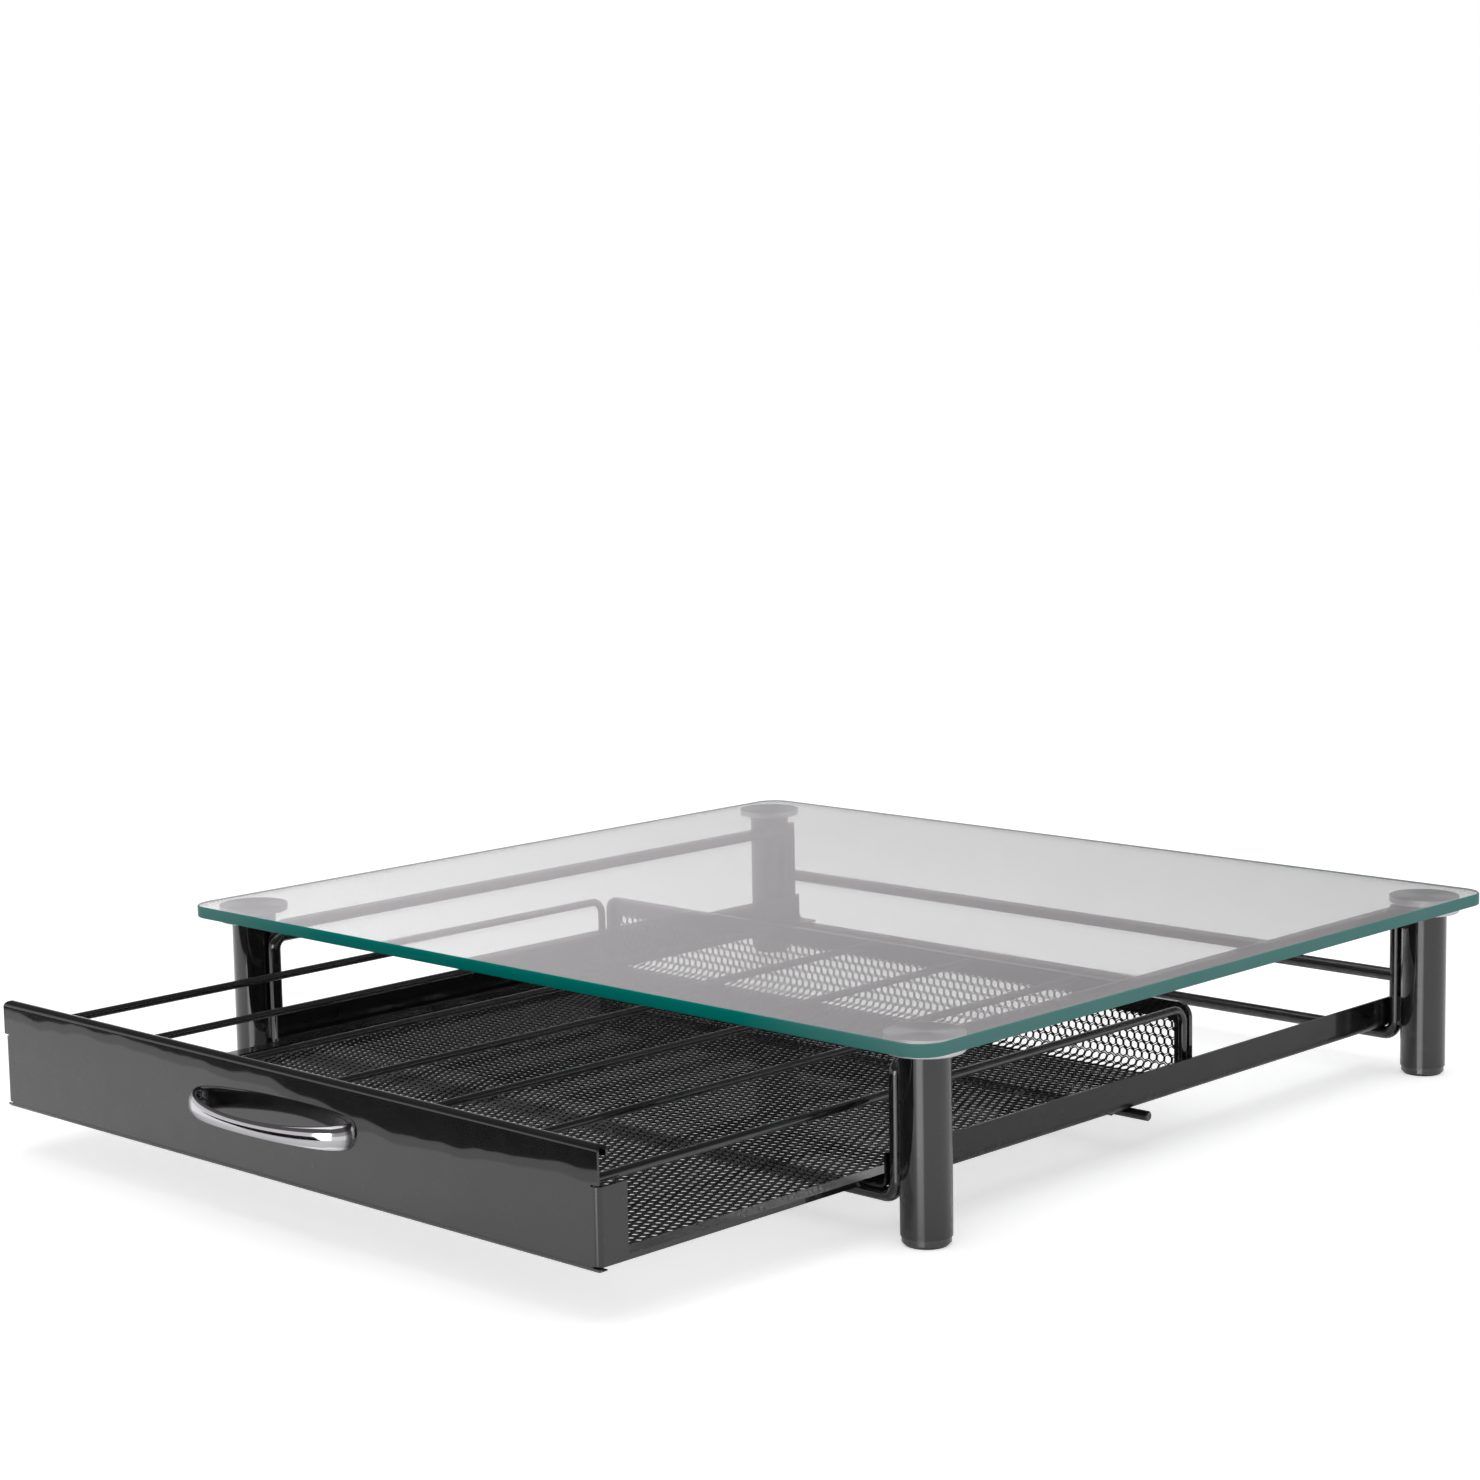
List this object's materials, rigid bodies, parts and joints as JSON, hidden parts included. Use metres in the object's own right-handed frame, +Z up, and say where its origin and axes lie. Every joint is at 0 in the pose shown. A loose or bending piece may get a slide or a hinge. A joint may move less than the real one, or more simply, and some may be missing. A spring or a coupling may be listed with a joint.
{
  "type": "coffee pod drawer",
  "caption": "Sliding drawer for coffee pods under a glass-topped metal stand, with a mesh basket split into lanes by thin bars and a chrome bow handle.",
  "frame": {"origin": "bottom centre of the whole outline with the drawer at its pictured, part open place", "axes": "+Z up, the drawer opens towards -Y, +X to the right seen from the front"},
  "size_m": [0.42, 0.507, 0.078],
  "materials": {
    "clear_glass": "polished",
    "brushed_disc": "spun",
    "black_gloss_metal": "gloss",
    "black_plastic": "satin",
    "zinc_steel": "satin",
    "chrome": "mirror"
  },
  "bodies": {
    "stand": {"glass_top": "clear_glass", "bonding_disc_front_left": "brushed_disc", "bonding_disc_front_right": "brushed_disc", "bonding_disc_rear_left": "brushed_disc", "bonding_disc_rear_right": "brushed_disc", "disc_studs": "zinc_steel", "leg_inserts": "zinc_steel", "leg_front_left": "black_gloss_metal", "leg_front_right": "black_gloss_metal", "leg_rear_left": "black_gloss_metal", "leg_rear_right": "black_gloss_metal", "foot_front_left": "black_plastic", "foot_front_right": "black_plastic", "foot_rear_left": "black_plastic", "foot_rear_right": "black_plastic", "front_frame": "black_gloss_metal", "rear_frame": "black_gloss_metal", "top_rod_left": "black_gloss_metal", "top_rod_right": "black_gloss_metal", "rear_upper_bar": "black_gloss_metal", "slide_rail_left": "black_gloss_metal", "slide_rail_right": "black_gloss_metal", "frame_weld_tabs": "black_gloss_metal"},
    "drawer": {"drawer_front": "black_gloss_metal", "drawer_handle": "chrome", "handle_screws": "zinc_steel", "basket_floor_net": "black_gloss_metal", "basket_corner_net": "black_gloss_metal", "basket_back_net": "black_gloss_metal", "basket_back_frame": "black_gloss_metal", "floor_hem_left": "black_gloss_metal", "floor_hem_right": "black_gloss_metal", "corner_hem_left": "black_gloss_metal", "corner_hem_right": "black_gloss_metal", "floor_hem_front": "black_gloss_metal", "side_top_rail_left": "black_gloss_metal", "side_top_rail_right": "black_gloss_metal", "lane_bar_1": "black_gloss_metal", "lane_bar_2": "black_gloss_metal", "lane_bar_3": "black_gloss_metal", "lane_bar_4": "black_gloss_metal", "lane_bar_5": "black_gloss_metal", "stop_rod": "black_gloss_metal", "stop_rod_clips": "black_gloss_metal"}
  },
  "joints": [
    {"name": "drawer_slide", "type": "slide", "parent": "stand", "child": "drawer", "axis": [0, -1, 0], "range_m": [-0.133, 0.141]}
  ]
}
